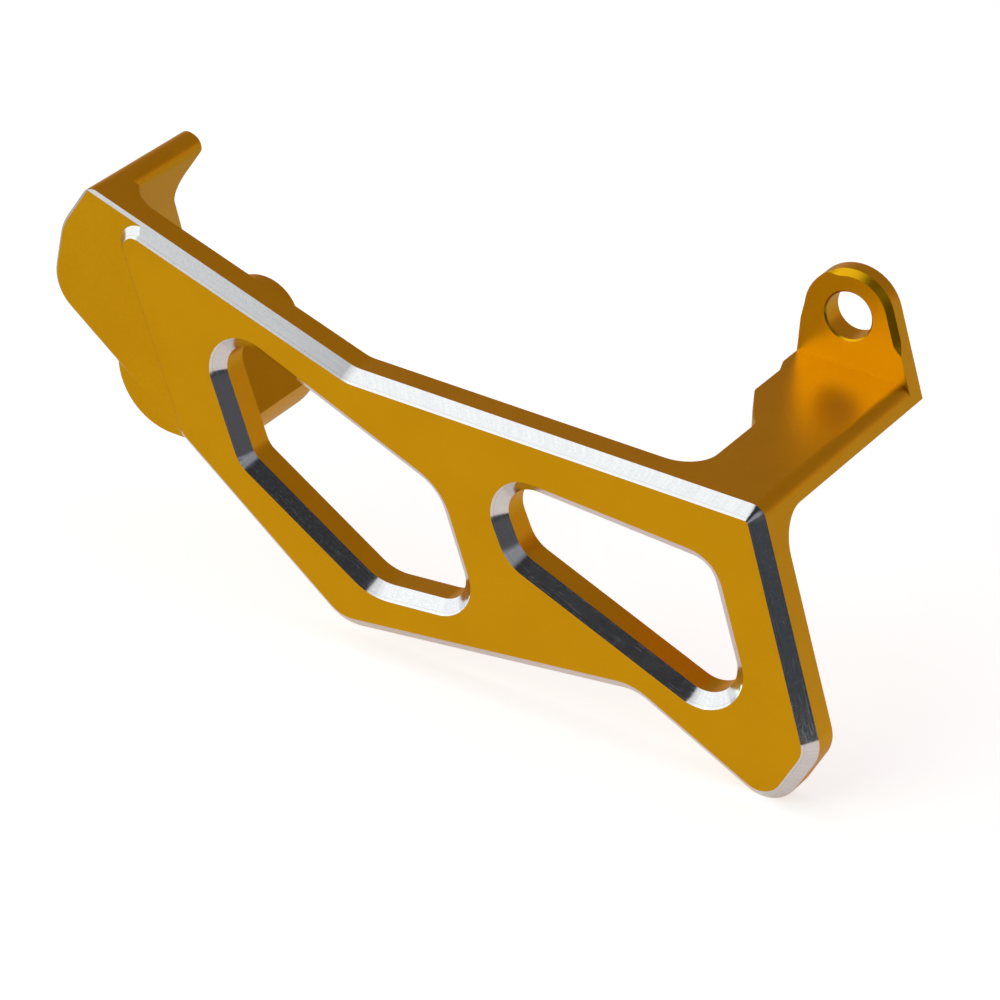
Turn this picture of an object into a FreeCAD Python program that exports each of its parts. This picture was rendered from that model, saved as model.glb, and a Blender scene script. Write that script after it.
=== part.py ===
import FreeCAD, Part

import math
import os

from FreeCAD import Vector

# Brake caliper guard, milled from one block of aluminium.
# The origin is the centre of the ear's bolt hole, on the ear's rear face, which seats on the caliper.
# +Y points from that face into the caliper; +Z is up; the plate's front face looks along -Y.

# Depths, along Y from the rear face of the ear
REACH = 56.2                 # rear face of the ear to the front face of the plate
PLATE_THICK = 6.6
EAR_THICK = 4.5
CHAMFER = 2.1                # leg of the 45 degree chamfer round the plate and its windows
STEP = 1.6                   # how far the left end of the front face is set back

# Bolt hole and ear
HOLE_DIAMETER = 8.2          # clearance for an M8 bolt
HOLE_CHAMFER = 0.3
EAR_RADIUS = 7.9             # arch about the hole
EAR_LEFT_X = -8.3            # left side of the ear below its arch
EAR_LEFT_DROP = 2.8          # from the hole's centre down to where that side starts
EAR_RIM_CHAMFER = 1.0
RIM_LEFT_END = 106.0         # where the rim chamfer ends on the arch, as a direction from the hole
RIM_RIGHT_END = 4.75         # how far it runs down the right edge
RIM_TOOL_RADIUS = 4.0        # cutter that leaves the rounded ends of the rim chamfer
SEAT_CHAMFER = 0.8           # round the ear's rear face

# Plate outline: corner places (X, Z) before rounding
TOP_Z = -8.9                 # level top edge, below the hole's centre
RIGHT_LEAN = 20.7            # lean of the right edge, which is tangent to the ear's arch
LEFT_SLOPE = 17.16           # slope of the top left edge
BEND_X = -61.5               # where the top edge bends
LEFT_CORNER_X = -113.4
NOSE_TOP = (-118.1, -1.0)
NOSE_BOTTOM = (-119.45, -12.85)
BELLY = (-60.4, -55.34)
WAIST = (-6.57, -48.4)
TOE_LEFT = (20.05, -60.92)
TOE_TOP_DROP = 38.8          # from the top edge down to where the right edge ends

# Plate outline: corner radii
TOP_LEFT_RADIUS = 2.0        # behind the bevel, whose own corner is sharp
NOSE_TOP_RADIUS = 9.0
NOSE_BOTTOM_RADIUS = 7.5
BELLY_RADIUS = 8.2
WAIST_RADIUS = 8.0
TOE_LEFT_RADIUS = 6.1
TOE_RIGHT_RADIUS = 6.0
TOP_RIGHT_RADIUS = 2.8
BEND_RADIUS = 6.0

# Windows: corner places (X, Z) before rounding, and radii
LEFT_WINDOW = (
    (-89.5, -7.9, 4.5),
    (-44.8, -25.3, 9.0),
    (-36.6, -43.85, 4.1),
    (-54.2, -45.55, 11.5),
    (-79.2, -30.65, 16.0),
)
RIGHT_WINDOW = (
    (-35.1, -19.2, 4.5),
    (4.1, -21.3, 5.1),
    (14.6, -48.05, 5.3),
    (-28.95, -31.15, 8.0),
)

# Set-back left end: its border runs beside the left window
STEP_LEAN = 66.0             # slope of the border
STEP_BORDER = (-97.8, -16.5)  # a place on the border of the raised face
STEP_CORNER_RADIUS = 3.5

# Arm from the plate back to the ear: plan places are (X, depth behind the front face)
ARM_THICK = 3.3
ARM_LEFT_X = -1.85
ARM_ROOT_RADIUS = 6.0        # fillets between the arm and the rear of the plate
LUG_LEFT_X = -7.3
FLARE_START = 25.4           # depth where the arm starts to widen
FLARE_KINK_X = -3.4
FLARE_KINK = 27.4
FLARE_END = 35.2
LUG_STEP_START = 43.9
LUG_STEP_END = 46.9
FLARE_RADIUS = 2.0

# Side wall at the left end, with the finger at its top
WALL_THICK = 4.35
FINGER_DEPTH = 30.1          # rear end of the finger, behind the front face
WALL_ROOT_RADIUS = 6.0
FINGER_ROUND = 2.3           # round along the finger's inner top edge
FINGER_ROUND_START = 10.0     # depth where that round starts, in the wall's root
FINGER_TIP = 1.76            # height of the finger's rear end
SCALLOP = (24.57, 8.26)      # corner of the scallop under the finger: (depth, distance below the top face)
SCALLOP_RADIUS = 4.9
SCALLOP_SLOPE = 0.765        # how fast the wall's rear edge runs back below the scallop
WALL_DEPTH = 34.6            # rear end of the wall's foot
FOOT_RADIUS = 2.0

# Boss behind the left end
BOSS_CENTRE = (-98.0, -23.85)
BOSS_RADIUS = 11.2           # lower left lobe
LOBE_RADIUS = 15.4           # lower right lobe, about the same centre
BOSS_DEPTH = 27.3
BOSS_FLAT_LEAN = 55.0        # direction that the flat on top of the boss faces
BOSS_FLAT_OFFSET = 5.4       # from the boss centre to that flat
LOBE_FOOT_RADIUS = 3.0
SPIGOT_RADIUS = 7.35
SPIGOT_DEPTH = 32.9
THREAD_DIAMETER = 8.0        # M8, tapped from the rear
TAPPING_DIAMETER = 6.8
TAPPED_DEPTH = 20.0
DRILL_POINT_ANGLE = 118.0

# Worked out from the sizes above
FRONT_Y = -REACH
REAR_Y = FRONT_Y + PLATE_THICK
SPAN = NOSE_TOP[0] * -2
FAR = SPAN + REACH           # more than any cutter needs
TOUCH = 1e-4                 # places closer than this are one place


def depth_y(depth):
    """Y of a place given by its depth behind the plate's front face."""
    return FRONT_Y + depth


def heading(degrees):
    """Unit vector in the XZ plane, turned up from +X."""
    turn = math.radians(degrees)
    return Vector(math.cos(turn), 0, math.sin(turn))


def rounded_wire(corners):
    """Closed wire through corners given as (point, radius), each corner replaced by its tangent arc."""
    edges = []
    starts = []
    ends = []
    count = len(corners)
    for index, (corner, radius) in enumerate(corners):
        to_last = (corners[index - 1][0] - corner).normalize()
        to_next = (corners[(index + 1) % count][0] - corner).normalize()
        if radius == 0:
            starts.append(corner)
            ends.append(corner)
            continue
        half = to_last.getAngle(to_next) / 2
        tangent = radius / math.tan(half)
        centre = corner + (to_last + to_next).normalize() * (radius / math.sin(half))
        start = corner + to_last * tangent
        end = corner + to_next * tangent
        middle = centre + (corner - centre).normalize() * radius
        edges.append((index, Part.Arc(start, middle, end).toShape()))
        starts.append(start)
        ends.append(end)
    for index in range(count):
        start = ends[index]
        end = starts[(index + 1) % count]
        if start.distanceToPoint(end) > TOUCH:
            edges.append((index + 0.5, Part.LineSegment(start, end).toShape()))
    return Part.Wire([edge for place, edge in sorted(edges, key=lambda item: item[0])])


def flat_wire(corners):
    """Rounded wire in the XZ plane from (X, Z, radius) corners."""
    return rounded_wire([(Vector(x, 0, z), radius) for x, z, radius in corners])


def prism(wire, front, rear):
    """Solid of an XZ wire between two Y places."""
    face = Part.Face(wire)
    face.translate(Vector(0, front, 0))
    return face.extrude(Vector(0, rear - front, 0))


def half_space(point, outward, size=2.0 * FAR):
    """Large block on the inner side of a plane through a point; the plane's normal lies in the XZ plane."""
    along = outward.cross(Vector(0, 1, 0))
    corners = [point + along * size, point + along * size - outward * size,
               point - along * size - outward * size, point - along * size]
    wire = Part.makePolygon(corners + corners[:1])
    return prism(wire, -size, size)


def right_edge_x(z):
    """X of the plate's right edge at a height; the edge is tangent to the ear's arch."""
    lean = math.radians(RIGHT_LEAN)
    return (EAR_RADIUS - z * math.sin(lean)) / math.cos(lean)


def left_edge_z(x):
    """Z of the sloping top left edge."""
    return TOP_Z + (BEND_X - x) * math.tan(math.radians(LEFT_SLOPE))


def outline_corners(top_left_radius):
    """The plate's corners in order: the top from the left, down the right edge, back along the bottom."""
    toe_top = TOP_Z - TOE_TOP_DROP
    return (
        (LEFT_CORNER_X, left_edge_z(LEFT_CORNER_X), top_left_radius),
        (BEND_X, TOP_Z, BEND_RADIUS),
        (right_edge_x(TOP_Z), TOP_Z, TOP_RIGHT_RADIUS),
        (right_edge_x(toe_top), toe_top, TOE_RIGHT_RADIUS),
        TOE_LEFT + (TOE_LEFT_RADIUS,),
        WAIST + (WAIST_RADIUS,),
        BELLY + (BELLY_RADIUS,),
        NOSE_BOTTOM + (NOSE_BOTTOM_RADIUS,),
        NOSE_TOP + (NOSE_TOP_RADIUS,),
    )


def front_edges(solid, front):
    """Edges that lie wholly in the plane of a front face."""
    found = []
    for edge in solid.Edges:
        box = edge.BoundBox
        if abs(box.YMin - front) < TOUCH and abs(box.YMax - front) < TOUCH:
            found.append(edge)
    return found


def set_back():
    """What is milled off the left end: all above the step, outside the raised face's bevelled border."""
    floor = FRONT_Y + STEP
    across = heading(90 - STEP_LEAN)
    down = heading(-STEP_LEAN)
    up_slope = heading(90 - LEFT_SLOPE)
    along_top = heading(-LEFT_SLOPE)
    border = Vector(STEP_BORDER[0], 0, STEP_BORDER[1]) - across * STEP
    edge = Vector(BEND_X, 0, TOP_Z) - up_slope * (CHAMFER - STEP)
    cross_angle = along_top.cross(down).y
    distance = (edge - border).cross(down).y / cross_angle
    corner = edge - along_top * distance
    pad = rounded_wire([
        (corner, STEP_CORNER_RADIUS),
        (corner + along_top * FAR, 0),
        (corner + along_top * FAR + down * FAR, 0),
        (corner + down * FAR, 0),
    ])
    raised = prism(pad, FRONT_Y, floor + TOUCH)
    raised = raised.makeChamfer(STEP, front_edges(raised, FRONT_Y))
    reach_left = half_space(corner + across * (STEP + STEP_CORNER_RADIUS), across)
    slab = Part.makeBox(2 * FAR, STEP, 2 * FAR, Vector(-FAR - REACH, FRONT_Y, -FAR))
    return slab.common(reach_left).cut(raised)


def outline_bar(front, rear):
    """The plate's outline as a solid bar; arm and wall are cut from it and share its outer faces."""
    return prism(flat_wire(outline_corners(TOP_LEFT_RADIUS)), front, rear)


def plate():
    """Plate with its two windows, bevelled all round, and its set-back left end."""
    solid = prism(flat_wire(outline_corners(0)), FRONT_Y, REAR_Y)
    for window in (LEFT_WINDOW, RIGHT_WINDOW):
        solid = solid.cut(prism(flat_wire(window), FRONT_Y, REAR_Y))
    solid = solid.makeChamfer(CHAMFER, front_edges(solid, FRONT_Y))
    solid = solid.cut(set_back())
    return solid.common(outline_bar(FRONT_Y, REAR_Y))


def arm():
    """Arm along the plate's top right corner, with a fillet into the plate below and beside it."""
    underside = TOP_Z - ARM_THICK
    side = rounded_wire([
        (Vector(-FAR, REAR_Y, TOP_Z + ARM_THICK), 0),
        (Vector(-FAR, 0, TOP_Z + ARM_THICK), 0),
        (Vector(-FAR, 0, underside), 0),
        (Vector(-FAR, REAR_Y, underside), ARM_ROOT_RADIUS),
        (Vector(-FAR, REAR_Y, underside - ARM_ROOT_RADIUS), 0),
    ])
    plan = rounded_wire([
        (Vector(ARM_LEFT_X - ARM_ROOT_RADIUS, REAR_Y, -FAR), 0),
        (Vector(ARM_LEFT_X, REAR_Y, -FAR), ARM_ROOT_RADIUS),
        (Vector(ARM_LEFT_X, depth_y(FLARE_START), -FAR), FLARE_RADIUS),
        (Vector(FLARE_KINK_X, depth_y(FLARE_KINK), -FAR), FLARE_RADIUS),
        (Vector(LUG_LEFT_X, depth_y(FLARE_END), -FAR), FLARE_RADIUS),
        (Vector(LUG_LEFT_X, depth_y(LUG_STEP_START), -FAR), FLARE_RADIUS),
        (Vector(EAR_LEFT_X, depth_y(LUG_STEP_END), -FAR), FLARE_RADIUS),
        (Vector(EAR_LEFT_X, 0, -FAR), 0),
        (Vector(FAR, 0, -FAR), 0),
        (Vector(FAR, REAR_Y, -FAR), 0),
    ])
    bar = outline_bar(REAR_Y, 0)
    bar = bar.common(Part.Face(side).extrude(Vector(2 * FAR, 0, 0)))
    return bar.common(Part.Face(plan).extrude(Vector(0, 0, 2 * FAR)))


def ear_bar(left_side):
    """Solid of the ear's outline: an arch about the bolt hole, its right side the plate's right edge."""
    underside = TOP_Z - ARM_THICK
    right = heading(RIGHT_LEAN) * EAR_RADIUS
    left = Vector(-EAR_RADIUS, 0, 0)
    arch = Part.Arc(left, heading((RIGHT_LEAN + 180) / 2) * EAR_RADIUS, right).toShape()
    corners = [right, Vector(right_edge_x(underside), 0, underside)]
    corners += [Vector(x, 0, z) for x, z in left_side] + [left]
    sides = [Part.LineSegment(a, b).toShape() for a, b in zip(corners, corners[1:])]
    return prism(Part.Wire([arch] + sides), -EAR_THICK, 0)


def rim_cut():
    """Cutter for the chamfer on the ear's front rim, with the round end that the tool leaves at each side."""
    blank = ear_bar([(-EAR_RADIUS, TOP_Z - ARM_THICK)])
    rim = [edge for edge in front_edges(blank, -EAR_THICK) if isinstance(edge.Curve, Part.Circle)]
    down = heading(RIGHT_LEAN - 90)
    wedge = blank.cut(blank.makeChamfer(EAR_RIM_CHAMFER, rim))
    wedge = wedge.common(half_space(down * RIM_RIGHT_END, down))
    wedge = wedge.common(half_space(Vector(), heading(RIM_LEFT_END + 90)))
    tool_track = EAR_RADIUS - EAR_RIM_CHAMFER + RIM_TOOL_RADIUS
    front = Vector(0, -EAR_THICK, 0)
    right_end = front + heading(RIGHT_LEAN) * tool_track + down * RIM_RIGHT_END
    left_end = front + heading(RIM_LEFT_END) * tool_track
    tips = [Part.makeCone(RIM_TOOL_RADIUS, 0, RIM_TOOL_RADIUS, place, Vector(0, 1, 0))
            for place in (right_end, left_end)]
    return wedge.fuse(tips)


def ear():
    """Upright ear at the arm's end, a little wider on its left below the arch."""
    solid = ear_bar([(EAR_LEFT_X, TOP_Z - ARM_THICK), (EAR_LEFT_X, -EAR_LEFT_DROP)])
    return solid.cut(rim_cut())


def bolt_hole():
    """Cutter for the ear's hole, with a light chamfer at its front rim; the rear face seats flat."""
    radius = HOLE_DIAMETER / 2
    front = Vector(0, -EAR_THICK, 0)
    back = Vector(0, 1, 0)
    drill = Part.makeCylinder(radius, EAR_THICK, front, back)
    rim = Part.makeCone(radius + HOLE_CHAMFER, radius, HOLE_CHAMFER, front, back)
    return drill.fuse(rim)


def finger_round(inner, right, up):
    """Cutter that rounds the finger's inner top edge; it starts with a square step in the wall's root."""
    start = inner - right * FINGER_ROUND
    end = inner - up * FINGER_ROUND
    middle = start - up * FINGER_ROUND + (right + up).normalize() * FINGER_ROUND
    beside = end + right * FAR
    above = beside + up * FAR
    corners = [end, beside, above, above - right * (FAR + FINGER_ROUND), start]
    sides = [Part.LineSegment(a, b).toShape() for a, b in zip(corners, corners[1:])]
    wire = Part.Wire([Part.Arc(start, middle, end).toShape()] + sides)
    return prism(wire, depth_y(FINGER_ROUND_START), depth_y(FAR))


def side_wall():
    """Wall along the left end, scalloped at the rear, with the finger on top and a fillet into the plate."""
    corner = Vector(LEFT_CORNER_X, 0, left_edge_z(LEFT_CORNER_X))
    right = heading(-LEFT_SLOPE)
    up = heading(90 - LEFT_SLOPE)
    inner = corner + right * WALL_THICK

    behind_plate = outline_bar(REAR_Y, depth_y(WALL_DEPTH))
    root_top = inner + up * WALL_THICK
    plate_side = Vector(0, REAR_Y, 0)
    root_side = Vector(0, REAR_Y + WALL_ROOT_RADIUS, 0)
    root = rounded_wire([
        (root_top + right * WALL_ROOT_RADIUS + plate_side, 0),
        (root_top + plate_side, WALL_ROOT_RADIUS),
        (root_top + root_side, 0),
        (root_top - right * WALL_THICK + root_side, 0),
        (root_top - right * WALL_THICK + plate_side, 0),
    ])
    root = Part.Face(root).extrude(up * -FAR).common(behind_plate)
    wall = behind_plate.common(half_space(inner, right)).fuse(root)

    def place(depth, drop):
        return inner - right * FAR - up * drop + Vector(0, depth_y(depth), 0)

    foot_drop = SCALLOP[1] + (WALL_DEPTH - SCALLOP[0]) / SCALLOP_SLOPE
    profile = rounded_wire([
        (place(PLATE_THICK, -WALL_THICK), 0),
        (place(FINGER_DEPTH, -WALL_THICK), 0),
        (place(FINGER_DEPTH, FINGER_TIP), 0),
        (place(*SCALLOP), SCALLOP_RADIUS),
        (place(WALL_DEPTH, foot_drop), FOOT_RADIUS),
        (place(WALL_DEPTH, FAR), 0),
        (place(PLATE_THICK, FAR), 0),
    ])
    profile = Part.Face(profile).extrude(right * (2 * FAR))
    return wall.cut(finger_round(inner, right, up)).common(profile)


def boss():
    """Two-lobed boss behind the left end, flat below and on its slanted top, with a round spigot."""
    back = Vector(0, 1, 0)
    centre = Vector(BOSS_CENTRE[0], REAR_Y, BOSS_CENTRE[1])
    length = BOSS_DEPTH - PLATE_THICK
    axis = Vector(centre.x, 0, centre.z)
    lobe = Part.makeCylinder(LOBE_RADIUS, length, centre, back)
    lobe = lobe.common(half_space(axis, Vector(-1, 0, 0)))
    lobe = lobe.common(half_space(axis - Vector(0, 0, BOSS_RADIUS), Vector(0, 0, -1)))
    foot_x = axis.x + math.sqrt(LOBE_RADIUS ** 2 - BOSS_RADIUS ** 2)
    foot = Vector(foot_x, 0, axis.z - BOSS_RADIUS)
    foot_edge = [edge for edge in lobe.Edges
                 if all(v.Point.distanceToLine(foot, back) < TOUCH for v in edge.Vertexes)]
    lobe = lobe.makeFillet(LOBE_FOOT_RADIUS, foot_edge)
    body = Part.makeCylinder(BOSS_RADIUS, length, centre, back).fuse(lobe)
    facing = heading(BOSS_FLAT_LEAN)
    body = body.common(half_space(axis + facing * BOSS_FLAT_OFFSET, facing))
    spigot_start = Vector(centre.x, depth_y(BOSS_DEPTH), centre.z)
    spigot = Part.makeCylinder(SPIGOT_RADIUS, SPIGOT_DEPTH - BOSS_DEPTH, spigot_start, back)
    return body.fuse(spigot)


def tapped_hole():
    """Cutter for the blind M8 hole in the spigot, with its drill point and a lead-in chamfer."""
    mouth = Vector(BOSS_CENTRE[0], depth_y(SPIGOT_DEPTH), BOSS_CENTRE[1])
    inwards = Vector(0, -1, 0)
    radius = TAPPING_DIAMETER / 2
    drill = Part.makeCylinder(radius, TAPPED_DEPTH, mouth, inwards)
    point_height = radius / math.tan(math.radians(DRILL_POINT_ANGLE / 2))
    point = Part.makeCone(radius, 0, point_height, mouth + inwards * TAPPED_DEPTH, inwards)
    lead = THREAD_DIAMETER / 2 + HOLE_CHAMFER
    lead_in = Part.makeCone(lead, radius, lead - radius, mouth, inwards)
    return drill.fuse([point, lead_in])


def bracket():
    """Arm and ear together, with the chamfer round the rear face that seats on the caliper."""
    solid = arm().fuse(ear()).removeSplitter()
    return solid.makeChamfer(SEAT_CHAMFER, front_edges(solid, 0))


def guard():
    """The whole guard as one solid."""
    solid = plate().fuse([bracket(), side_wall(), boss()])
    solid = solid.cut([bolt_hole(), tapped_hole()])
    return solid.removeSplitter()


os.makedirs("parts", exist_ok=True)
solid = guard()
solid.exportStep("parts/caliper_guard.step")
print("solids", len(solid.Solids), "valid", solid.isValid(), "volume mm3", round(solid.Volume, 1))
print("box", solid.BoundBox)
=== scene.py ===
import math

import bmesh
import bpy
import numpy as np
from mathutils import Matrix, Vector


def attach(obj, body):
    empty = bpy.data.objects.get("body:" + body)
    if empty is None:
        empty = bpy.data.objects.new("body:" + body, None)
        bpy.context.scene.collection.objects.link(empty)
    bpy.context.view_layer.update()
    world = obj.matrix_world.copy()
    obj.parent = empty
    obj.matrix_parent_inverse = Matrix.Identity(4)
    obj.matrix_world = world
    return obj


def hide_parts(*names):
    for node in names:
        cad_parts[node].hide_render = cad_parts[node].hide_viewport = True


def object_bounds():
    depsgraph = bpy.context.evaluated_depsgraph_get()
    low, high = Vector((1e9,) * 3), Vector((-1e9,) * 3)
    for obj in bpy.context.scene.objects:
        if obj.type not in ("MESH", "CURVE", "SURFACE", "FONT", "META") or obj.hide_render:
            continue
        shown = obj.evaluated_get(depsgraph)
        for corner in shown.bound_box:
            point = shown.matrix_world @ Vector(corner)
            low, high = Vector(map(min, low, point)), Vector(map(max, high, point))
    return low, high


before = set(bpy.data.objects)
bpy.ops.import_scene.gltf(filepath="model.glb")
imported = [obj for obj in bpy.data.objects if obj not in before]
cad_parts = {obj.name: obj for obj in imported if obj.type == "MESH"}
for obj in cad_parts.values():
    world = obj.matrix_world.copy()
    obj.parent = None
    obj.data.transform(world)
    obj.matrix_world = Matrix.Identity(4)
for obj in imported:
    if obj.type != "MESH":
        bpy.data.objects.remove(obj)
cad_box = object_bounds()
print("CAD box", [round(v * 1000, 2) for corner in cad_box for v in corner], "mm")

# %% [markdown]
# The guard is one milled block: a slanted plate with two windows, an arm that runs back to a bolt ear, and a
# side wall and boss behind the left end.
# The whole block was blasted and anodised gold, and the 45 degree chamfers round the plate and its windows were
# then cut again, so that bare bright aluminium shows there.
# The guard could be modelled again from curves and bevels, but its CAD node already has the true sizes. So the
# node is copied, merged and given the tiny broken edges of a real milled part, and each face is told which of the
# two finishes it has.

# %% Sizes that the finish needs, in metres
MM = 0.001
FRONT_Y = -56.2 * MM
CHAMFER = 2.1 * MM
EDGE_BREAK = 0.10 * MM
SHARP_ANGLE = math.radians(30)
print("front face at", FRONT_Y, "m, chamfer", CHAMFER, "m")

# %% [markdown]
# A CAD export is loose triangles. Merging the points that coincide and dissolving the lines inside each flat
# face gives a clean shell, whose real edges are the only sharp ones left.

# %% A merged copy of the CAD node
SAME_POINT = 1e-6
FLAT_ANGLE = math.radians(0.2)


def add_to_scene(thing):
    """Links an object to the scene, which is what makes it show."""
    bpy.context.scene.collection.objects.link(thing)


def merged_copy(node, name):
    """A new object from a CAD node's mesh: points closer than a micron are one point, flat neighbours one face."""
    shell = bmesh.new()
    shell.from_mesh(node.data)
    bmesh.ops.remove_doubles(shell, verts=shell.verts, dist=SAME_POINT)
    bmesh.ops.dissolve_limit(shell, angle_limit=FLAT_ANGLE, verts=shell.verts, edges=shell.edges)
    mesh = bpy.data.meshes.new(name)
    shell.to_mesh(mesh)
    shell.free()
    copy = bpy.data.objects.new(name, mesh)
    add_to_scene(copy)
    print(name, len(mesh.vertices), "points,", len(mesh.polygons), "faces")
    return copy


guard = merged_copy(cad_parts["caliper_guard"], "guard_block")

# %% [markdown]
# Three window corners are tighter on the real part than in the CAD solid. They could be modelled again, but a
# rounded corner keeps touching its two sides when its radius changes, so each of its points only slides: the
# arc's centre moves along the line that halves the corner, and the point moves towards or away from that centre
# by the change of radius. The chamfer's points lie on a larger arc with the same centre and slide with it.

# %% Tighter window corners
# Each row has the corner, the corners before and after it, and its radius before and after, in millimetres
TIGHTER_CORNERS = (
    ((-79.2, -30.65), (-89.5, -7.9), (-54.2, -45.55), 16.0, 4.1),
    ((-54.2, -45.55), (-79.2, -30.65), (-36.6, -43.85), 11.5, 8.5),
    ((-28.95, -31.15), (-35.1, -19.2), (14.6, -48.05), 8.0, 6.4),
)
ARC_TOLERANCE = 0.05 * MM
ARC_END_MARGIN = math.radians(0.6)


def points_of(mesh):
    """All points of a mesh as one array."""
    places = np.zeros(len(mesh.vertices) * 3)
    mesh.vertices.foreach_get("co", places)
    return places.reshape(-1, 3)


def slide_corner(places, corner, before, after, radius, new_radius):
    """Points of a rounded corner moved to a new radius: centre = corner + halving line * radius / cos(turn / 2)."""
    sides = [np.subtract(end, corner) / np.linalg.norm(np.subtract(end, corner)) for end in (before, after)]
    halving = (sides[0] + sides[1]) / np.linalg.norm(sides[0] + sides[1])
    half_turn = math.pi / 2 - math.acos(sides[0] @ halving)
    centre = (np.array(corner) + halving * radius / math.cos(half_turn)) * MM
    spoke = places[:, [0, 2]] - centre
    length = np.linalg.norm(spoke, axis=1)
    outward = spoke / length[:, None]
    on_arc = outward @ -halving > math.cos(half_turn + ARC_END_MARGIN)
    on_arc &= (length > radius * MM - ARC_TOLERANCE) & (length < radius * MM + CHAMFER + ARC_TOLERANCE)
    change = (new_radius - radius) * MM
    moved = places[:, [0, 2]] + change * (halving / math.cos(half_turn) + outward)
    places[:, [0, 2]] = np.where(on_arc[:, None], moved, places[:, [0, 2]])
    print("corner", corner, "half turn", round(math.degrees(half_turn), 1), "points moved", int(on_arc.sum()))


places = points_of(guard.data)
for row in TIGHTER_CORNERS:
    slide_corner(places, *row)
guard.data.vertices.foreach_set("co", places.ravel())

# %% [markdown]
# The corners slid while each large flat face was still one outline, because triangles made before could have
# folded over. Now the faces of more than four corners are cut into triangles, within their new outlines.

# %% Large faces cut into triangles
shell = bmesh.new()
shell.from_mesh(guard.data)
large = [face for face in shell.faces if len(face.verts) > 4]
print(len(large), "faces cut into triangles")
bmesh.ops.triangulate(shell, faces=large)
shell.to_mesh(guard.data)
shell.free()

# %% [markdown]
# A cut chamfer is known by its direction and its place: it leans 45 degrees to the front face and lies within
# the chamfer's depth of it. The slope between the two levels of the left end is one of them: it mirrors the gold
# face beside it and so hardly shows. Painting the faces by hand would work once, but numpy works it out for all
# faces at once and again after each change of the solid.

# %% Which faces are bare
LEAN_TOLERANCE = 0.05


def face_arrays(mesh):
    """Centres and normals of all faces as two arrays."""
    count = len(mesh.polygons)
    centres = np.zeros(count * 3)
    normals = np.zeros(count * 3)
    mesh.polygons.foreach_get("center", centres)
    mesh.polygons.foreach_get("normal", normals)
    return centres.reshape(-1, 3), normals.reshape(-1, 3)


centres, normals = face_arrays(guard.data)
leans = np.abs(normals[:, 1] + math.sqrt(0.5)) < LEAN_TOLERANCE
near_front = centres[:, 1] < FRONT_Y + CHAMFER
bare = leans & near_front
print("bare faces", int(bare.sum()), "of", len(bare))

# %% [markdown]
# The cutter left fine marks across each chamfer. A pattern on plain coordinates would cut through the corners at
# all angles. So every face corner gets the distance along the edge as U and the depth behind the front face as V,
# and the pattern follows the chamfer round its corners.

# %% A closed ring and the distance along it
SMALLEST_SQUARE = 1e-18


def ring_length(points, centre):
    """Points of a ring sorted by their direction from a centre, the distance travelled at each, and the steps."""
    order = np.argsort(np.arctan2(points[:, 1] - centre[1], points[:, 0] - centre[0]))
    ring = points[order]
    steps = np.linalg.norm(np.roll(ring, -1, axis=0) - ring, axis=1)
    return ring, np.concatenate([[0], np.cumsum(steps)[:-1]]), steps


def along(points, ring, travelled, steps):
    """Distance travelled along the ring at each point's nearest place, and the gap to it.

    Every point gets a foot on every segment at once: foot = start + share * segment, share between 0 and 1.
    """
    reach = np.roll(ring, -1, axis=0) - ring
    square = np.maximum((reach ** 2).sum(axis=1), SMALLEST_SQUARE)
    share = np.einsum("pij,ij->pi", points[:, None] - ring[None], reach) / square
    share = np.clip(share, 0, 1)
    foot = ring[None] + share[..., None] * reach[None]
    gap = np.linalg.norm(points[:, None] - foot, axis=2)
    best = gap.argmin(axis=1)
    rows = np.arange(len(points))
    return travelled[best] + share[rows, best] * steps[best], gap[rows, best]


# %% Distance along the chamfers as a UV map
LEFT_WINDOW = np.array([-62.0, -29.0]) * MM
LEFT_HALF = np.array([29, 22]) * MM
RIGHT_WINDOW = np.array([-6.0, -29.5]) * MM
RIGHT_HALF = np.array([26, 16]) * MM
PLATE_MIDDLE = np.array([-30.0, -30.0]) * MM
SAME_DEPTH = 0.01 * MM


def window_boxes(flat):
    """For each place, whether it is in the left window's box, in the right window's box and in neither."""
    left = (np.abs(flat - LEFT_WINDOW) < LEFT_HALF).all(axis=1)
    right = (np.abs(flat - RIGHT_WINDOW) < RIGHT_HALF).all(axis=1)
    return left & ~right, right, ~(left | right)


def chamfer_uv(mesh, is_bare):
    """UV in millimetres: U along the nearest ring of the chamfers' outer edges, V the depth behind the front."""
    places = points_of(mesh)
    flat = places[:, [0, 2]]
    corner_points = np.zeros(len(mesh.loops), np.int32)
    mesh.loops.foreach_get("vertex_index", corner_points)
    corner_counts = np.zeros(len(mesh.polygons), np.int32)
    mesh.polygons.foreach_get("loop_total", corner_counts)
    rim = np.zeros(len(places), bool)
    rim[corner_points[np.repeat(is_bare, corner_counts)]] = True
    rim &= np.abs(places[:, 1] - (FRONT_Y + CHAMFER)) < SAME_DEPTH
    best_u = np.zeros(len(places))
    best_gap = np.full(len(places), np.inf)
    for centre, inside in zip((LEFT_WINDOW, RIGHT_WINDOW, PLATE_MIDDLE), window_boxes(flat)):
        u, gap = along(flat, *ring_length(flat[rim & inside], centre))
        closer = gap < best_gap
        best_u = np.where(closer, u, best_u)
        best_gap = np.where(closer, gap, best_gap)
    uv = np.stack([best_u, places[:, 1] - FRONT_Y], axis=1)[corner_points] / MM
    layer = mesh.uv_layers.new(name="cut")
    layer.data.foreach_set("uv", uv.astype(np.float32).ravel())
    print("chamfer length", round(float(best_u.max()) / MM, 1), "mm")


chamfer_uv(guard.data, bare)

# %% [markdown]
# Materials are written as sums. A small class wraps a socket, so that 1 - mask or height * 0.2 becomes a Math
# node, and colours are blended by Mix nodes. Without it every sum would be a page of links.

# %% A socket that can be used in sums


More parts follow.
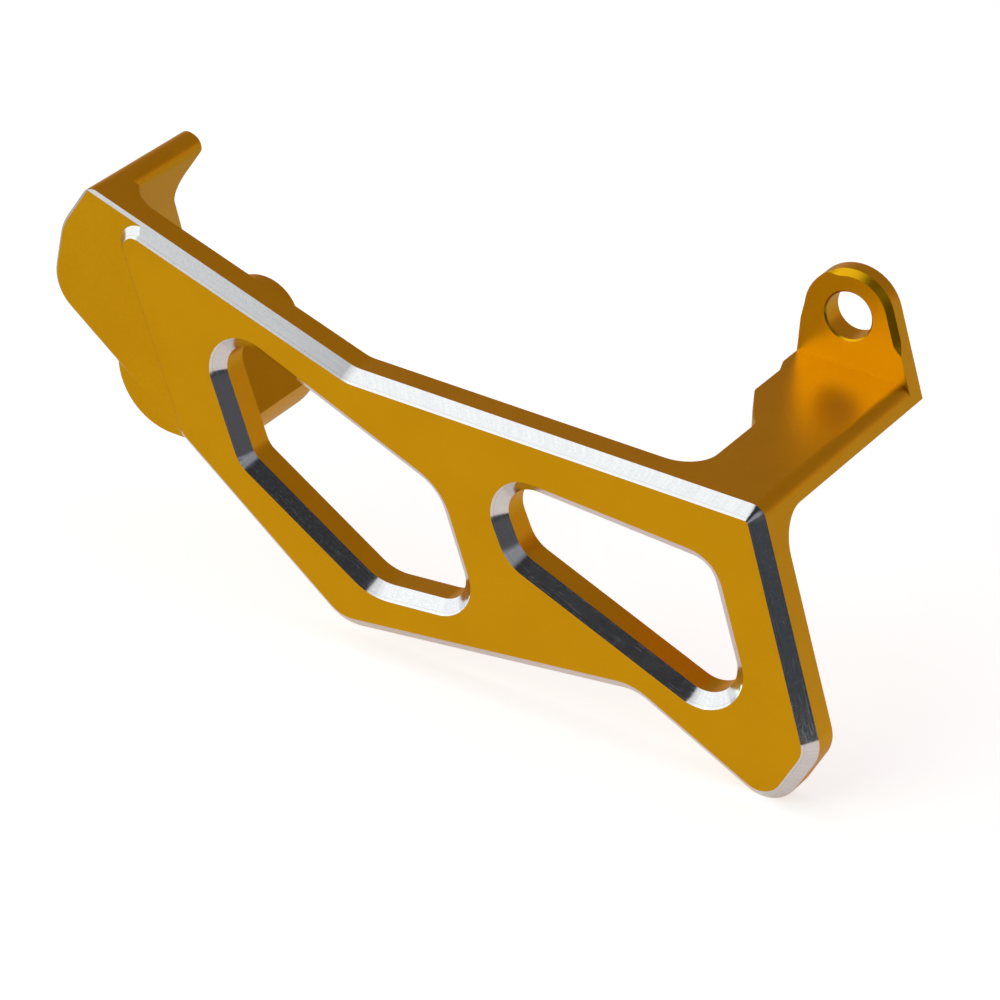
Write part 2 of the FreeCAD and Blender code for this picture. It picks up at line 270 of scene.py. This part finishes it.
class Wire:
    """One output socket of a node tree, with the operators that the finishes use."""

    def __init__(self, tree, socket):
        self.tree = tree
        self.socket = socket

    def node(self, kind, inputs, settings=None, output=0):
        """Adds a node: its settings first, then the values or links of its sockets, and returns one output."""
        made = self.tree.nodes.new(kind)
        for key, value in (settings or {}).items():
            setattr(made, key, value)
        for key, value in inputs.items():
            if isinstance(value, Wire):
                self.tree.links.new(value.socket, made.inputs[key])
            else:
                made.inputs[key].default_value = value
        return Wire(self.tree, made.outputs[output])

    def math(self, operation, *values):
        """A Math node on values and wires."""
        return self.node("ShaderNodeMath", dict(enumerate(values)), {"operation": operation})

    def __add__(self, other):
        return self.math("ADD", self, other)

    __radd__ = __add__

    def __sub__(self, other):
        return self.math("SUBTRACT", self, other)

    def __rsub__(self, other):
        return self.math("SUBTRACT", other, self)

    def __mul__(self, other):
        return self.math("MULTIPLY", self, other)

    __rmul__ = __mul__

    def smooth(self, low, high):
        """0 below low, 1 above high and a smooth rise between them."""
        return self.node("ShaderNodeMapRange", {0: self, 1: low, 2: high}, {"interpolation_type": "SMOOTHSTEP"})

    def blend(self, first, second):
        """A colour between two colours, by this value."""
        return self.node("ShaderNodeMix", {0: self, 6: first, 7: second}, {"data_type": "RGBA"}, output=2)

    def dot(self, direction):
        """How far a vector points along a direction."""
        return self.node("ShaderNodeVectorMath", {0: self, 1: direction}, {"operation": "DOT_PRODUCT"}, output=1)

    def stretched(self, scale):
        """A vector times a vector, part by part."""
        return self.node("ShaderNodeVectorMath", {0: self, 1: scale}, {"operation": "MULTIPLY"})

    def noise(self, scale, detail=2.0, roughness=0.5):
        """Smooth noise from 0 to 1 at this place."""
        values = {"Vector": self, "Scale": scale, "Detail": detail, "Roughness": roughness}
        return self.node("ShaderNodeTexNoise", values)

    def ray(self, kind):
        """1 for rays of one kind, such as camera rays, and 0 for all others."""
        return self.node("ShaderNodeLightPath", {}, output=kind)


# %% The start and the end of a node tree


def first_wire(tree, coordinates):
    """The tree emptied, and a Wire that gives one kind of coordinates."""
    tree.nodes.clear()
    return Wire(tree, tree.nodes.new("ShaderNodeTexCoord").outputs[coordinates])


def connect(surface, output_kind):
    """Feeds a shader into the tree's output node."""
    output = surface.tree.nodes.new(output_kind)
    surface.tree.links.new(surface.socket, output.inputs["Surface"])


def finished_material(name, shader):
    """A material whose surface is what a function makes of its Object coordinates."""
    material = bpy.data.materials.new(name)
    material.use_nodes = True
    connect(shader(first_wire(material.node_tree, "Object")), "ShaderNodeOutputMaterial")
    print(name, len(material.node_tree.nodes), "nodes")
    return material


# %% [markdown]
# Anodising is a thin clear dyed layer on metal, so the colour sits in the reflection: a metallic surface with a
# gold base colour. Paint under a clear coat would look flat and wet. The blasting under the layer leaves a very
# fine grain, which spreads the reflections, and the tone drifts a little from place to place.

# %% Anodised gold
GOLD = (0.735, 0.396, 0.007, 1)
GOLD_DEEP = (0.688, 0.358, 0.005, 1)
GOLD_AT_GRAZING = (1.0, 0.91, 0.72, 1)
CLOUD_SCALE = 90
CLOUD_SHARE = 0.4
GRAIN_SCALE = 4200
GRAIN_SHARE = 0.6
MIDDLE_RANGE = (0.35, 0.65)
GOLD_ROUGHNESS = 0.29
GRAIN_ROUGHNESS = 0.08
PEAK_SCALE = 3200
PEAK_HEIGHT = 0.03 * MM
PEAK_STRENGTH = 0.16


def anodised_gold(place):
    """Gold metal, deeper or lighter by slow clouds and fine grain, over small blasted peaks."""
    cloud = place.noise(CLOUD_SCALE, 3)
    grain = place.noise(GRAIN_SCALE, 2, 0.6)
    peaks = place.noise(PEAK_SCALE, 3, 0.65)
    return place.node("ShaderNodeBsdfPrincipled", {
        "Base Color": (cloud * CLOUD_SHARE + grain * GRAIN_SHARE).smooth(*MIDDLE_RANGE).blend(GOLD_DEEP, GOLD),
        "Metallic": 1.0,
        "Specular Tint": GOLD_AT_GRAZING,
        "Roughness": GOLD_ROUGHNESS + grain * GRAIN_ROUGHNESS,
        "Normal": place.node("ShaderNodeBump", {"Strength": PEAK_STRENGTH, "Distance": PEAK_HEIGHT, "Height": peaks}),
    })


guard.data.materials.append(finished_material("anodised_gold", anodised_gold))

# %% [markdown]
# The bare chamfers are bright aluminium. The end mill stepped along the edge and left fine lines across it, a
# shallow groove that runs the whole length, and a few scratches along it. Modelling such marks would take millions
# of faces. The lines, the mottle and the scratches are noise on the UV map that is stretched: quick along U and
# slow across V for the lines, and the other way round for the others. The groove is a band at one depth. The marks
# change colour and roughness more than height, because they are far thinner than a pixel.

# %% Bare cut aluminium
BARE = (0.84, 0.855, 0.865, 1)
BARE_DULL = (0.72, 0.74, 0.76, 1)
GROOVE = (0.66, 0.67, 0.69, 1)
LINES_STRETCH = (2.2, 0.2, 1)
MOTTLE_STRETCH = (1.6, 6.0, 1)
SCRATCH_STRETCH = (0.25, 6.5, 1)
SCRATCH_RANGE = (0.52, 0.72)
GROOVE_FRONT = (0.27, 0.35)
GROOVE_BACK = (0.41, 0.49)
GROOVE_SHARE = 0.6
# Painted highlight: the first 0.2 to 0.3 mm behind each chamfer's front edge is made lighter in colour, standing in
# for a line of light.
PAINTED_HIGHLIGHT_DEPTHS = (0.20, 0.30)
PAINTED_HIGHLIGHT_SHARE = 0.4
BARE_ROUGHNESS = 0.09
MOTTLE_ROUGHNESS = 0.10
MOTTLE_RANGE = (0.35, 0.75)
SCRATCH_ROUGHNESS = 0.09
MARK_HEIGHT = 0.03 * MM
MARK_STRENGTH = 0.02


def bare_cut(place):
    """Bright metal with lines across the chamfer, a groove 0.3 to 0.45 mm behind its front edge, scratches, and a
    painted highlight: lighter colour along the front edge.
    """
    uv = place.node("ShaderNodeUVMap", {}, {"uv_map": "cut"})
    depth = uv.dot((0, 1, 0))
    lines = uv.stretched(LINES_STRETCH).noise(1.0, 3, 0.65)
    mottle = uv.stretched(MOTTLE_STRETCH).noise(1.0, 3, 0.65)
    scratches = uv.stretched(SCRATCH_STRETCH).noise(1.0, 2, 0.5).smooth(*SCRATCH_RANGE)
    groove = depth.smooth(*GROOVE_FRONT) * (1 - depth.smooth(*GROOVE_BACK))
    # Painted highlight: lighter colour along the chamfer's front edge, in place of the line of light there.
    front_edge_painted_highlight = 1 - depth.smooth(*PAINTED_HIGHLIGHT_DEPTHS)
    marks = lines.smooth(*MIDDLE_RANGE) * 0.5 + mottle.smooth(*MIDDLE_RANGE) * 0.5
    # The tone mixes the random marks with the painted highlight along the front edge.
    tone = (marks + front_edge_painted_highlight * PAINTED_HIGHLIGHT_SHARE).blend(BARE_DULL, BARE)
    bump = place.node("ShaderNodeBump", {"Strength": MARK_STRENGTH, "Distance": MARK_HEIGHT,
                                         "Height": mottle - groove})
    return place.node("ShaderNodeBsdfPrincipled", {
        "Base Color": (groove * GROOVE_SHARE).blend(tone, GROOVE),
        "Metallic": 1.0,
        "Roughness": BARE_ROUGHNESS + mottle.smooth(*MOTTLE_RANGE) * MOTTLE_ROUGHNESS + scratches * SCRATCH_ROUGHNESS,
        "Normal": bump,
    })


guard.data.materials.append(finished_material("bare_cut", bare_cut))
guard.data.polygons.foreach_set("material_index", bare.astype(np.int32))

# %% [markdown]
# No milled edge is perfectly sharp. A bevel of a tenth of a millimetre gives each edge the thin line of light
# that it has on the real part, and rounded faces are shaded smooth. Weighted normals then keep the flat faces
# flat right up to the bevels. As modifiers, both can be changed without touching the mesh.

# %% Broken edges
BEVEL_SEGMENTS = 2
EVEN_WEIGHT = 50

guard.data.shade_smooth()
guard.data.set_sharp_from_angle(angle=SHARP_ANGLE)
edges = guard.modifiers.new("broken_edges", "BEVEL")
edges.width = EDGE_BREAK
edges.segments = BEVEL_SEGMENTS
edges.limit_method = "ANGLE"
edges.angle_limit = SHARP_ANGLE
flats = guard.modifiers.new("even_flats", "WEIGHTED_NORMAL")
flats.mode = "FACE_AREA"
flats.weight = EVEN_WEIGHT
flats.keep_sharp = True
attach(guard, "root")
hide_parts("caliper_guard")
print(guard.name, "finished with", [modifier.name for modifier in guard.modifiers])

# %% [markdown]
# The floor is plain and white and carries the shadow. A little light of its own, for camera and mirror rays only,
# brings it to the white of the background, where more lamps would wash out the metal. What the metal mirrors of
# it is a little warm, dimmer behind the part, and unlit beyond a line at the front right, where the chamfers on
# the left of each window look.

# %% Floor
FLOOR_Z = cad_box[0].z
FLOOR_HALF = 4.0
WHITE = (1, 1, 1, 1)
PAINT = (0.60, 0.60, 0.60, 1)
SEEN_GLOW = 0.70
MIRRORED_GLOW = 0.35
MIRRORED_TINT = (1.09, 0.865, 0.81, 1)
REAR = (0, 1, 0)
BEHIND_EDGE = (-0.03, 0.08)
BEHIND_LOSS = 0.12
REAR_LEFT = (-0.8, 0.6, 0)
BEHIND_LEFT_EDGE = (0.02, 0.12)
BEHIND_LEFT_LOSS = 0.16
FRONT_RIGHT = (0.80, -0.60, 0)
BEYOND_EDGE = (0.15, 0.18)
BEYOND_COLOUR = (0.8, 0.9, 1.0, 1)
BEYOND_GLOW = 0.06


def floor_white(place):
    """White paint with a glow for camera and mirror rays: the mirrored glow is less behind, and dim beyond."""
    camera = place.ray("Is Camera Ray")
    glossy = place.ray("Is Glossy Ray")
    behind = place.dot(REAR).smooth(*BEHIND_EDGE)
    behind_left = place.dot(REAR_LEFT).smooth(*BEHIND_LEFT_EDGE)
    mirrored = MIRRORED_GLOW - behind * BEHIND_LOSS - behind_left * BEHIND_LEFT_LOSS
    glow = place.node("ShaderNodeEmission", {"Color": camera.blend(MIRRORED_TINT, WHITE),
                                             "Strength": camera * SEEN_GLOW + glossy * mirrored})
    paint = place.node("ShaderNodeBsdfDiffuse", {"Color": PAINT})
    near = place.node("ShaderNodeAddShader", {0: paint, 1: glow})
    dim = place.node("ShaderNodeEmission", {"Color": BEYOND_COLOUR, "Strength": BEYOND_GLOW})
    beyond = place.dot(FRONT_RIGHT).smooth(*BEYOND_EDGE) * glossy
    return place.node("ShaderNodeMixShader", {0: beyond, 1: near, 2: dim})


floor_mesh = bpy.data.meshes.new("floor")
corners = np.array([[-1, -1, 0], [1, -1, 0], [1, 1, 0], [-1, 1, 0]]) * FLOOR_HALF + np.array([0, 0, FLOOR_Z])
floor_mesh.from_pydata(corners.tolist(), [], [[0, 1, 2, 3]])
floor_mesh.materials.append(finished_material("floor_white", floor_white))
floor = bpy.data.objects.new("floor", floor_mesh)
add_to_scene(floor)

# %% [markdown]
# Metal shows what is round it, so the light is a room: bright white in front and on the left, a dimmer back with
# a pale wall low down, and an unlit front right corner. That corner is what the chamfers facing right reflect,
# and their sharp change from black to white comes from its hard edge. A faint patch high in that corner lifts the
# small arcs that look there. Boxes and lamps could build the same room, but sums on the direction of a ray give it
# with no noise. The camera itself sees plain white.

# %% World
RIGHT = (1, 0, 0)
TOP = (0, 0, 1)
REAR_EDGE = (0.05, 0.45)
REAR_LIGHT = 0.30
LOW_WALL_LIGHT = 0.35
LOW_WALL_EDGE = (0.0, 0.35)
REAR_TINT = (1.17, 0.83, 0.85, 1)
FRONT_LIGHT = 1.13
LEFT_EDGE = (-0.40, -0.05)
LEFT_LOSS = 0.34
RIGHT_EDGE = (0.1, 0.9)
RIGHT_LOSS = 0.40
UNLIT_LEFT_EDGE = (-0.05, -0.02)
UNLIT_REAR_EDGE = (-0.30, -0.10)
UNLIT_LIGHT = 0.034
UNLIT_LOW_LIGHT = 0.056
UNLIT_LOW_EDGE = (0.15, 0.60)
UNLIT_TINT = (0.97, 0.95, 1.06, 1)
PATCH_DIRECTION = (0.58, -0.64, 0.51)
PATCH_EDGE = (0.95, 1.0)
PATCH_LIGHT = 0.26


def studio(room):
    """Light = lit * (1 - unlit) + unlit level * unlit, where lit goes from the front level to the rear level."""
    to_right = room.dot(RIGHT)
    to_rear = room.dot(REAR)
    to_top = room.dot(TOP)
    unlit = to_right.smooth(*UNLIT_LEFT_EDGE) * (1 - to_rear.smooth(*UNLIT_REAR_EDGE))
    rear = to_rear.smooth(*REAR_EDGE)
    rear_level = REAR_LIGHT + (1 - to_top.smooth(*LOW_WALL_EDGE)) * LOW_WALL_LIGHT
    front_level = FRONT_LIGHT - to_right.smooth(*LEFT_EDGE) * LEFT_LOSS - to_right.smooth(*RIGHT_EDGE) * RIGHT_LOSS
    patch = room.dot(PATCH_DIRECTION).smooth(*PATCH_EDGE)
    lit = rear_level * rear + front_level * (1 - rear)
    unlit_level = UNLIT_LIGHT + (1 - to_top.smooth(*UNLIT_LOW_EDGE)) * UNLIT_LOW_LIGHT + patch * PATCH_LIGHT
    light = lit * (1 - unlit) + unlit_level * unlit
    shade = unlit.blend(rear.blend(WHITE, REAR_TINT), UNLIT_TINT)
    camera = room.ray("Is Camera Ray")
    return room.node("ShaderNodeBackground", {"Color": camera.blend(shade, WHITE),
                                              "Strength": light * (1 - camera) + camera})


world = bpy.data.worlds.new("studio")
world.use_nodes = True
bpy.context.scene.world = world
connect(studio(first_wire(world.node_tree, "Generated")), "ShaderNodeOutputWorld")
print("world", len(world.node_tree.nodes), "nodes")

# %% [markdown]
# One large soft lamp stands at the front left, above the part. It lights the ear and the arm by way of two gold
# faces, one after the other, and each takes away blue and green. So the lamp is greener than white, and the
# patch that has been mirrored twice keeps the colour of the gold.

# %% Soft lamp
LAMP_DIRECTION = (-0.43, -0.79, 0.44)
LAMP_DISTANCE = 1.3
LAMP_WIDTH = 0.8
LAMP_HEIGHT = 0.7
LAMP_RADIANCE = 1.2
LAMP_COLOUR = (0.83, 1.26, 0.75)


def soft_lamp(name, middle):
    """Rectangular lamp that faces the middle; energy = radiance * pi * area, as it looks in a mirror."""
    data = bpy.data.lights.new(name, "AREA")
    data.shape = "RECTANGLE"
    data.size = LAMP_WIDTH
    data.size_y = LAMP_HEIGHT
    data.energy = LAMP_RADIANCE * math.pi * LAMP_WIDTH * LAMP_HEIGHT
    data.color = LAMP_COLOUR
    lamp = bpy.data.objects.new(name, data)
    toward = Vector(LAMP_DIRECTION).normalized()
    lamp.location = middle + toward * LAMP_DISTANCE
    lamp.rotation_mode = "QUATERNION"
    lamp.rotation_quaternion = (-toward).to_track_quat("-Z", "Y")
    add_to_scene(lamp)
    print(name, round(data.energy, 2), "W at", [round(v, 2) for v in lamp.location])


soft_lamp("soft_front_left", (cad_box[0] + cad_box[1]) / 2)

# %% [markdown]
# The camera was found from the straight edges and circles of the part: a long lens, 0.8 m away, from the front
# right and 29 degrees above.

# %% Camera
TARGET = Vector((-32.52, -56.2, -22.05)) * MM
BACK = Vector((0.4126, -0.7706, 0.4858)).normalized()
UP = Vector((-0.3019, 0.3875, 0.8710))
DISTANCE = 0.8003
LENS_MM = 183.6
SENSOR_MM = 36
CLIP_START = 0.05
CLIP_END = 20

camera_data = bpy.data.cameras.new("camera")
camera_data.lens = LENS_MM
camera_data.sensor_width = SENSOR_MM
camera_data.clip_start = CLIP_START
camera_data.clip_end = CLIP_END
camera = bpy.data.objects.new("camera", camera_data)
right = UP.cross(BACK).normalized()
turn = Matrix((right, BACK.cross(right), BACK)).transposed().to_4x4()
camera.matrix_world = Matrix.Translation(TARGET + BACK * DISTANCE) @ turn
add_to_scene(camera)
bpy.context.scene.camera = camera
bpy.context.scene.view_settings.view_transform = "Standard"
print("camera", LENS_MM, "mm,", DISTANCE, "m from the part")
